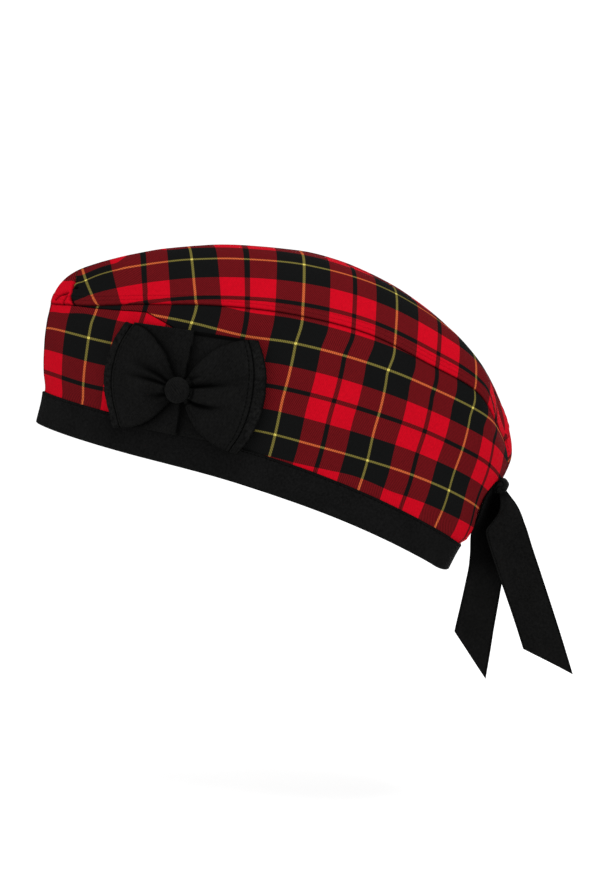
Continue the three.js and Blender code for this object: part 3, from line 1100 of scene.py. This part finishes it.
FRONT_LOBE = {
    "reach": 44.2,
    "hem": 4.9,
    "bulge": (9.2, 6.9),
    "edges": (
        ((0.0, 4.8), (3.5, 5.4), (5.5, 7.0), (8.8, 13.4), (11.9, 18.0), (16.4, 23.0), (20.7, 26.8),
         (25.5, 29.9), (33.4, 31.4)),
        ((0.0, 5.4), (4.5, 6.4), (7.8, 9.6), (10.8, 13.0), (15.2, 17.5), (19.0, 20.6), (25.4, 23.6),
         (31.5, 25.2), (36.4, 26.0)),
    ),
    "folds": (
        (0.38, 0.36, 2.6, 1.2, 34.0, 1),
        (0.14, 0.14, 2.6, 0.8, 37.0, 1),
        (-0.47, -0.24, 2.6, 1.2, 21.0, -1),
        (-0.80, -0.74, 1.2, 1.1, 20.0, -1),
        (0.72, 0.72, 1.0, 1.2, 20.0, 1),
    ),
}
FOLD_RUN = 25.0  # mm out at which the second share of a fold is given


def lobe_at(end):
    return REAR_LOBE if end > 0 else FRONT_LOBE


def bow_front(end, across, puff):
    """(u, v, out, fold) of the bow's front: end -1 to 1 is from the front lobe's end to the rear's,
    and fold is how deep in a fold that is, 0 to 1."""
    lobe = lobe_at(end)
    half = 0 if across > 0 else 1
    out = abs(end)
    edge = read(lobe["edges"][half], (lobe["reach"] - lobe["bulge"][half]) * out)
    u = (lobe["reach"] - lobe["bulge"][half] * across * across) * end
    free = 1 - bell(out, 0.0, 0.1)
    swell = free * (puff * (1 - across ** 2 * 0.75) * (1 - out ** 2) + 1.2)
    far = out * lobe["reach"]
    deepest = 0.0
    for near, late, depth, width, stop, soft_side in lobe["folds"]:
        place = lerp(near, late, far / FOLD_RUN)
        apart = (across - place) * edge * soft_side
        apart /= width * (0.5 + 0.05 * far) * (1.9 if apart > 0 else 0.8)
        valley = math.exp(-abs(apart) ** 1.4) * smooth(far, 3.5, 7.0) * (1 - smooth(far, 0.3 * stop, stop))
        swell -= depth * valley
        deepest = max(deepest, valley * depth / 2.6)
    return u, edge * across, swell, deepest


BUTTON_AT = (0.5, -0.3)  # u, v of the button
BUTTON_RISE = 4.5
BUTTON_FOOT = 0.3  # share of its grid that lies under it


def cockade_bow():
    settings = bpy.context.scene.glengarry_cockade

    def spot(s, t):
        return 2 * closer_ends(s, 0.25) - 1, 2 * closer_ends(t, 0.55) - 1

    def place_point(end, across):
        u, v, swell, fold = bow_front(end, across, settings.puff)
        tall = abs(v / across) if abs(across) > 0.01 else 20.0
        out = BOW_SEAT + swell
        out -= rolled((1 - abs(across)) * tall, 1.3) * 0.9
        lobe = lobe_at(end)
        inward = (1 - abs(end)) * lobe["reach"]
        out -= rolled(inward, 1.0) * 0.8
        out += 0.35 * (1 - smooth(inward, lobe["hem"] - 0.5, lobe["hem"] + 0.3))
        out -= 0.45 * bell(inward, lobe["hem"], 0.55)
        frayed = 1 - smooth(inward, 0.0, 1.6)
        u += frayed * unevenness(Vector((v, u, 0.0)) * MM, 2.1, 0.3, 5.0) * (1 if end > 0 else -1)
        here = Vector((u, v, 3.0)) * MM
        loose = smooth(abs(end), 0.1, 0.4)
        out += loose * (unevenness(here, 19.0, 0.9, 6.0) + unevenness(here, 7.5, 0.25, 1.0))
        return on_side(u, v, out)

    def cloth_map(end, across):
        return bow_front(end, across, 0.0)[:2]

    def edge_map(end, across):
        lobe = lobe_at(end)
        return (1 - abs(end)) * lobe["reach"] * settings.hem / lobe["hem"], across * 31.0

    # Painted shade: the folds darkened by their depth, a line of painted shade along the lobes' long edges,
    # and a painted shadow ring round the button
    def fold_shade_map(end, across):
        u, v, swell, fold = bow_front(end, across, 0.0)
        tall = abs(v / across) if abs(across) > 0.05 else 25.0
        edge_shade = 0.6 * math.exp(-(1 - abs(across)) * tall / 0.6)
        past_button = math.hypot(u - BUTTON_AT[0], v - BUTTON_AT[1]) - settings.button
        button_shadow = 0.9 * bell(past_button, 0.4, 0.8)
        return min(1.2 * fold, 0.96), max(edge_shade, button_shadow)

    maps = {"Cloth": cloth_map, "Edge": edge_map, "FoldShade": fold_shade_map}
    dress = ("cockade_bow_cloth", "cockade_bow", "cockade_cloth", cockade_material())
    piece = cloth(*dress, 270, 176, spot, place_point, maps)
    thicken(piece, 1.5)


def cockade_button():
    settings = bpy.context.scene.glengarry_cockade
    radius = settings.button
    base = BOW_SEAT + settings.puff + 0.9
    foot = on_side(*BUTTON_AT, base)
    outward = (on_side(*BUTTON_AT, base + 1) - foot).normalized()
    ahead = Vector((0.0, 1.0, 0.0))
    ahead = (ahead - outward * ahead.dot(outward)).normalized()

    def spot(s, t):
        return 2 * math.pi * s, t

    def place_point(angle, t):
        """From the middle of the foot out to the rim, then over the dome to its middle."""
        if t < BUTTON_FOOT:
            off, up = radius * 0.93 * t / BUTTON_FOOT, 0.0
        else:
            bend = math.pi / 2 * (t - BUTTON_FOOT) / (1 - BUTTON_FOOT)
            off = radius * math.cos(bend) ** 0.8 * (0.93 + 0.07 * smooth(bend, 0.0, 0.35))
            off += 0.16 * math.sin(angle * 23 + 2 * math.sin(angle * 3)) * math.exp(-bend / 0.28)
            up = BUTTON_RISE * math.sin(bend) ** 0.75 - 0.35 * bell(off, 0.0, 1.2)
        u, v = off * math.cos(angle), off * math.sin(angle)
        return foot + (ahead * u + outward.cross(ahead) * v + outward * up) * MM

    def cloth_map(angle, t):
        return 12 * (1 - t) * math.cos(angle), 12 * (1 - t) * math.sin(angle)

    # Painted shade round the foot of the dome, where it meets the bow
    def fold_shade_map(angle, t):
        return 0.6 * (1 - smooth(t, BUTTON_FOOT, 0.42)), 0.0

    maps = {"Cloth": cloth_map, "Edge": no_edge, "FoldShade": fold_shade_map}
    dress = ("cockade_button_cover", "cockade_button", "cockade_cloth", cockade_material())
    piece = cloth(*dress, 120, 44, spot, place_point, maps, weld=True)


class GLENGARRY_OT_cockade(bpy.types.Operator):
    """Makes the cockade: a pleated layer, a bow with hemmed ends and a covered button"""

    bl_idname = "glengarry.cockade"
    bl_label = "Cockade"

    def execute(self, context):
        cockade_back()
        cockade_bow()
        cockade_button()
        return {"FINISHED"}


# ---- Ribbon at the back. Millimetres in the part's own frame, and `down` from the knot's middle
KNOT = Vector((14.0, 146.4, 9.2))
KNOT_HALF, KNOT_RADIUS = 8.0, 4.3
TOP = 5.5  # height from which `down` is counted
RIBBON_WIDTH = 24.0
LEFT_Y, LEFT_X, RIGHT_Y, RIGHT_X, HOLLOW = range(1, 6)
NEAR_END = (
    # down, y and x of its edge towards the front, y and x of its edge towards the back, hollow
    (-1.2, 145.0, 20.5, 149.2, 17.0, 0.0),
    (1.5, 145.6, 20.8, 151.2, 17.2, -0.6),
    (6.7, 146.0, 21.0, 155.1, 17.8, -1.2),
    (11.7, 144.6, 21.0, 157.7, 18.0, -1.4),
    (16.7, 141.0, 20.6, 159.6, 17.6, -1.0),
    (21.0, 138.1, 20.0, 161.3, 17.0, -0.5),
    (27.0, 139.0, 19.2, 163.2, 16.4, 0.2),
    (34.0, 141.2, 18.2, 165.5, 15.6, 0.6),
    (46.0, 145.3, 16.8, 169.6, 14.4, 0.8),
    (61.0, 150.5, 15.4, 174.6, 13.2, 0.3),
    (77.0, 155.9, 14.2, 179.8, 12.4, -0.4),
    (92.0, 160.7, 13.2, 184.6, 12.0, 0.2),
    (106.0, 165.3, 12.8, 188.9, 11.6, 0.6),
)
NEAR_CUT = (97.0, 7.5)  # down to the middle of its cut, and from there to the cut's lower corner
FAR_END = (
    (-6.5, 143.6, 21.5, 149.0, 16.0, 2.0),
    (-2.0, 139.6, 24.0, 149.0, 15.0, 6.0),
    (2.2, 137.1, 24.8, 149.0, 14.0, 8.6),
    (6.4, 135.6, 24.4, 149.0, 13.0, 9.6),
    (13.1, 133.6, 22.0, 148.5, 12.0, 9.0),
    (22.3, 130.2, 16.5, 148.0, 10.5, 5.0),
    (35.0, 129.6, 13.0, 149.0, 9.0, 2.0),
    (43.3, 128.9, 10.6, 149.3, 7.6, 0.8),
    (51.7, 127.3, 8.4, 148.1, 6.4, -0.6),
    (61.8, 125.3, 6.6, 146.6, 5.2, -0.9),
    (79.6, 121.5, 5.0, 143.8, 4.2, 0.2),
    (95.0, 118.7, 4.4, 141.5, 3.6, 0.8),
    (112.0, 115.6, 4.0, 138.8, 3.2, 0.4),
)
FAR_CUT = (95.2, 13.9)


def ribbon_end(node, rows, cut, seed, shaded):
    """`shaded` is how far down from its top it is darkened with painted shade, as if it lay in the shade of
    the knot.
    """
    settings = bpy.context.scene.glengarry_ribbon

    def spot(s, t):
        """How far down, and share of the way across."""
        return lerp(rows[0][0], cut[0], s) + cut[1] * (2 * t - 1) * s ** 4, t

    def place_point(drop, t):
        hollow = read(rows, drop, HOLLOW) * math.sin(math.pi * t)
        hollow += unevenness(Vector((drop, 20 * t, 0)) * MM, 20.0, 1.0, seed) * smooth(drop, 10.0, 40.0)
        y = lerp(read(rows, drop, LEFT_Y), read(rows, drop, RIGHT_Y), t)
        x = lerp(read(rows, drop, LEFT_X), read(rows, drop, RIGHT_X), t) - hollow
        return Vector((x, y, TOP - drop)) * MM

    def cloth_map(drop, t):
        return RIBBON_WIDTH * t, drop

    def edge_map(drop, t):
        return RIBBON_WIDTH * min(t, 1 - t), drop

    # Painted shadow: a dark line just under the knot, and painted shade over the end down to `shaded`
    def fold_shade_map(drop, t):
        knot_shadow = 0.8 * bell(drop, 1.2, 1.3)
        return 0.0, max(knot_shadow, 0.88 * (1 - smooth(drop, shaded - 9, shaded + 9)))

    maps = {"Cloth": cloth_map, "Edge": edge_map, "FoldShade": fold_shade_map}
    dress = (node + "_cloth", node, "ribbon_cloth", ribbon_material())
    piece = cloth(*dress, 170, 56, spot, place_point, maps)
    thicken(piece, settings.thickness, 0.0)


def ribbon_material():
    settings = bpy.context.scene.glengarry_ribbon
    made = bpy.data.materials.get("Ribbon")
    return made or plain_cloth("Ribbon", settings.colour, 0.7, (1.0,), stitch=1.2)


def ribbon_knot():
    """A turn of ribbon drawn tight over the tops of the ends."""

    def spot(s, t):
        return 2 * math.pi * s, math.pi * t

    def place_point(angle, turn):
        body = max(math.sin(turn), 0.0) ** 0.55
        wraps = 0.28 * math.sin(3 * angle + 5 * turn) + 0.12 * math.sin(5 * angle - 3 * turn)
        off = body * (KNOT_RADIUS + wraps * math.sin(turn))
        x = -KNOT_HALF * math.cos(turn)
        y = off * math.cos(angle) * 1.02
        z = off * math.sin(angle) * 0.98 + 0.8 * math.cos(angle) * body
        return (KNOT + Vector((x, y, z))) * MM

    def cloth_map(angle, turn):
        return KNOT_RADIUS * angle, 5.7 * turn

    # Painted shade in the grooves between the wraps
    def fold_shade_map(angle, turn):
        return 0.0, 0.8 * smooth(math.sin(3 * angle + 5 * turn), -0.4, -1.0)

    maps = {"Cloth": cloth_map, "Edge": no_edge, "FoldShade": fold_shade_map}
    dress = ("ribbon_knot_cloth", "ribbon_knot", "ribbon_cloth", ribbon_material())
    piece = cloth(*dress, 120, 80, spot, place_point, maps, weld=True)
    thicken(piece, 0.8)


class GLENGARRY_OT_ribbon(bpy.types.Operator):
    """Makes the knotted ribbon at the back, with its two hanging ends"""

    bl_idname = "glengarry.ribbon"
    bl_label = "Ribbon"

    def execute(self, context):
        ribbon_knot()
        ribbon_end("ribbon_end_near", NEAR_END, NEAR_CUT, 1.0, -20.0)
        ribbon_end("ribbon_end_far", FAR_END, FAR_CUT, 4.0, 45.0)
        return {"FINISHED"}


# ---- Stage
AIM = Vector((0.0, 32.59, 36.60))  # mm
LENS = 94.25
FLOOR_HALF = 4.0  # metres
LIGHTS = (
    # name, place and size in metres, power in watts
    ("Key", (0.9, 0.25, 1.75), 0.9, 24.0),
    ("Fill", (1.6, 0.9, 0.5), 1.2, 4.0),
)


def soft_light(name, spot, target, size, power):
    lamp = bpy.data.lights.new(name, "AREA")
    lamp.shape = "DISK"
    lamp.size = size
    lamp.energy = power
    light = bpy.data.objects.new(name, lamp)
    light.location = spot
    light.rotation_euler = (target - spot).to_track_quat("-Z", "Y").to_euler()
    bpy.context.scene.collection.objects.link(light)


class GLENGARRY_OT_stage(bpy.types.Operator):
    """Makes a pale floor, soft studio light and the camera"""

    bl_idname = "glengarry.stage"
    bl_label = "Stage"

    def execute(self, context):
        settings = context.scene.glengarry_stage
        scene = context.scene
        aim = AIM * MM
        low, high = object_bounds()
        shape = bmesh.new()
        bmesh.ops.create_grid(shape, x_segments=1, y_segments=1, size=FLOOR_HALF)
        floor = new_object("floor", shape)
        floor.location.z = low[2] - settings.drop * MM
        material = new_material("Floor")
        surface(material.node_tree, tuple(settings.floor), 1.0, 0.0)
        floor.data.materials.append(material)
        floor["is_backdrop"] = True

        world = bpy.data.worlds.new("Studio")
        world.use_nodes = True
        background = world.node_tree.nodes["Background"]
        background.inputs["Color"].default_value = (1.0, 1.0, 1.0, 1.0)
        background.inputs["Strength"].default_value = 1.1
        scene.world = world

        for name, spot, size, power in LIGHTS:
            soft_light(name, Vector(spot), aim, size, power)

        azimuth, elevation = math.radians(settings.azimuth), math.radians(settings.elevation)
        back = Vector((
            math.sin(azimuth) * math.cos(elevation),
            -math.cos(azimuth) * math.cos(elevation),
            math.sin(elevation),
        ))
        lens = bpy.data.cameras.new("Camera")
        lens.lens = LENS
        lens.sensor_width = 36.0
        lens.clip_start = 0.01
        lens.clip_end = 50.0
        camera = bpy.data.objects.new("Camera", lens)
        camera.location = aim + back * (settings.distance * MM)
        camera.rotation_euler = back.to_track_quat("Z", "Y").to_euler()
        scene.collection.objects.link(camera)
        scene.camera = camera
        scene.view_settings.view_transform = "Standard"
        return {"FINISHED"}


class GLENGARRY_PT_panel(bpy.types.Panel):
    """Lists the pieces of the glengarry"""

    bl_idname = "GLENGARRY_PT_panel"
    bl_label = "Glengarry"
    bl_space_type = "VIEW_3D"
    bl_region_type = "UI"
    bl_category = "Glengarry"

    def draw(self, context):
        for operator, group in PIECES:
            box = self.layout.box()
            box.operator(operator.bl_idname)
            if group:
                name, kind = group
                settings = getattr(context.scene, name)
                for key in kind.__annotations__:
                    box.prop(settings, key)


PIECES = (
    (GLENGARRY_OT_sides, ("glengarry_tartan", TartanSettings)),
    (GLENGARRY_OT_crown, None),
    (GLENGARRY_OT_band, ("glengarry_band", BandSettings)),
    (GLENGARRY_OT_cockade, ("glengarry_cockade", CockadeSettings)),
    (GLENGARRY_OT_ribbon, ("glengarry_ribbon", RibbonSettings)),
    (GLENGARRY_OT_stage, ("glengarry_stage", StageSettings)),
)


def register():
    for operator, group in PIECES:
        bpy.utils.register_class(operator)
        if group:
            name, kind = group
            bpy.utils.register_class(kind)
            setattr(bpy.types.Scene, name, bpy.props.PointerProperty(type=kind))
    bpy.utils.register_class(GLENGARRY_PT_panel)


def unregister():
    bpy.utils.unregister_class(GLENGARRY_PT_panel)
    for operator, group in reversed(PIECES):
        if group:
            name, kind = group
            delattr(bpy.types.Scene, name)
            bpy.utils.unregister_class(kind)
        bpy.utils.unregister_class(operator)


def main():
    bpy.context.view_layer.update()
    register()
    bpy.ops.glengarry.sides()
    bpy.ops.glengarry.crown()
    bpy.ops.glengarry.band()
    bpy.ops.glengarry.cockade()
    bpy.ops.glengarry.ribbon()
    bpy.ops.glengarry.stage()


if __name__ == "__main__":
    main()
